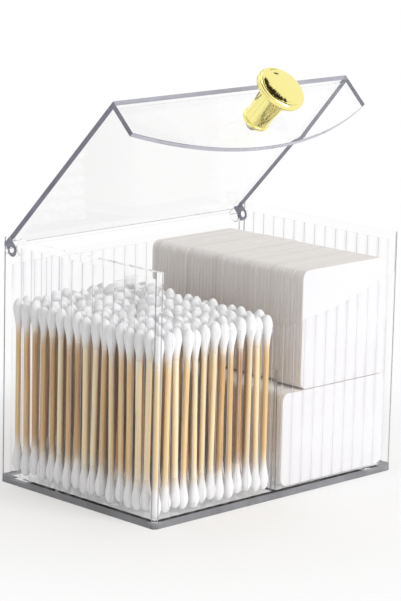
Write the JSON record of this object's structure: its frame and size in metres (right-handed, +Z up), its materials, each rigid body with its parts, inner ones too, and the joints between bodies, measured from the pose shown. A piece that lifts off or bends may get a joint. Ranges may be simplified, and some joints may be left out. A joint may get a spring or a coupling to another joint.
{
  "type": "cotton swab holder",
  "caption": "Clear lidded box with a fluted inside and a low divider: one side holds cotton swabs, the other cotton pads. A round knob lifts the hinged lid.",
  "frame": {"origin": "centre of the footprint, at the bottom of the feet", "axes": "+Z up, -Y is the front, +X to the right"},
  "size_m": [0.142, 0.1003, 0.1808],
  "materials": {
    "clear_plastic": "clear polystyrene, glossy",
    "clear_plastic_lid": "clear polystyrene, glossy",
    "gold_plating": "polished gold plating",
    "screw_steel": "bright zinc",
    "birch_wood": "raw wood",
    "cotton_wool": "wound cotton",
    "cotton_pad": "pressed cotton"
  },
  "bodies": {
    "tray": {"tray": "clear_plastic", "swab_sticks": "birch_wood", "low_tips": "cotton_wool", "top_tips": "cotton_wool", "lower_pads": "cotton_pad", "upper_pads": "cotton_pad"},
    "lid": {"lid": "clear_plastic_lid", "knob": "gold_plating", "knob_screw": "screw_steel"}
  },
  "joints": [
    {"name": "lid_hinge", "type": "hinge", "parent": "tray", "child": "lid", "pos_m": [0, 0.0444, 0.1006], "axis": [-1, 0, 0], "range_deg": [-46, 59]}
  ]
}
